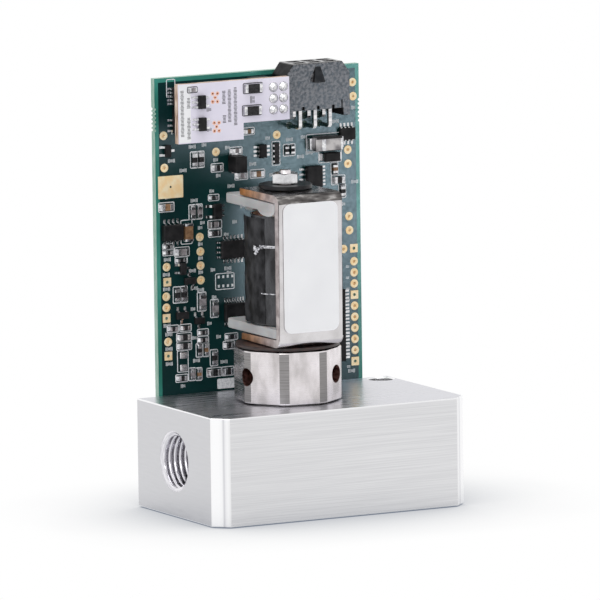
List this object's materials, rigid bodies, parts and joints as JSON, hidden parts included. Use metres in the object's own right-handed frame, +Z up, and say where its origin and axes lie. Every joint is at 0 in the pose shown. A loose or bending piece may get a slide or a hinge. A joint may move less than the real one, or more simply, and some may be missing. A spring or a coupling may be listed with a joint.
{
  "type": "proportional pressure controller",
  "caption": "Open-frame electronic pressure controller: an aluminium port block carrying a solenoid valve, with a circuit board screwed to its back.",
  "frame": {"origin": "centre of the port block's flat bottom face", "axes": "+Z up through the valve, +X towards the outlet end, -Y out of the plain front face, away from the circuit board"},
  "size_m": [0.064, 0.0431, 0.0982],
  "materials": {
    "aluminium": "brushed",
    "stainless_steel": "turned",
    "plated_sheet": "bright plating",
    "copper_wire": "enamelled copper wire",
    "brass": "turned",
    "grey_plastic": "moulded grey",
    "black_plastic": "moulded black",
    "black_tape": "wrapped film",
    "black_rubber": "moulded",
    "white_film": "bare label film",
    "green_board": "glass laminate with solder mask",
    "pale_board": "glass laminate with pale mask",
    "moulded_chip": "moulded",
    "tinned_metal": "tin plating",
    "brown_ceramic": "ceramic"
  },
  "bodies": {
    "controller": {"manifold_block": "aluminium", "valve_body": "stainless_steel", "body_o_ring": "black_rubber", "valve_seat": "brass", "seat_o_ring": "black_rubber", "guide_tube": "stainless_steel", "pole_piece": "stainless_steel", "plunger_spring": "stainless_steel", "bracket_gasket": "black_rubber", "flux_bracket": "plated_sheet", "coil_bobbin": "grey_plastic", "coil_winding": "copper_wire", "coil_tape": "black_tape", "valve_label": "white_film", "retaining_disc": "black_plastic", "retaining_nut": "tinned_metal", "coil_terminal_1": "tinned_metal", "coil_terminal_2": "tinned_metal", "main_board": "green_board", "board_screw_1": "stainless_steel", "board_screw_2": "stainless_steel", "board_screw_3": "stainless_steel", "board_screw_4": "stainless_steel", "pressure_sensor": "stainless_steel", "sensor_o_ring": "black_rubber", "connector_housing": "black_plastic", "connector_pin_1": "tinned_metal", "connector_pin_2": "tinned_metal", "connector_pin_3": "tinned_metal", "connector_pin_4": "tinned_metal", "connector_pin_5": "tinned_metal", "connector_pin_6": "tinned_metal", "daughter_board": "pale_board", "header_base": "black_plastic", "header_spacer": "black_plastic", "header_pin_1": "tinned_metal", "header_pin_2": "tinned_metal", "header_pin_3": "tinned_metal", "header_pin_4": "tinned_metal", "header_pin_5": "tinned_metal", "header_pin_6": "tinned_metal", "card_chip_1": "moulded_chip", "card_chip_2": "moulded_chip", "card_resistor_1": "moulded_chip", "card_resistor_2": "moulded_chip", "microcontroller": "moulded_chip", "driver_chip": "moulded_chip", "amplifier_chip": "moulded_chip", "power_inductor": "tinned_metal", "rectifier_diode": "moulded_chip", "power_chip": "moulded_chip", "ceramic_capacitor": "brown_ceramic", "regulator_chip": "moulded_chip", "converter_chip": "moulded_chip", "interface_chip": "moulded_chip", "tantalum_capacitor": "black_plastic", "switch_chip": "moulded_chip"},
    "poppet": {"plunger": "stainless_steel", "plunger_seal": "black_rubber"}
  },
  "joints": [
    {"name": "poppet_lift", "type": "slide", "parent": "controller", "child": "poppet", "axis": [0, 0, 1], "range_m": [0, 0.0005], "stiffness_N_per_m": 800, "springref_m": -0.001, "deforming": ["plunger_spring"]}
  ]
}
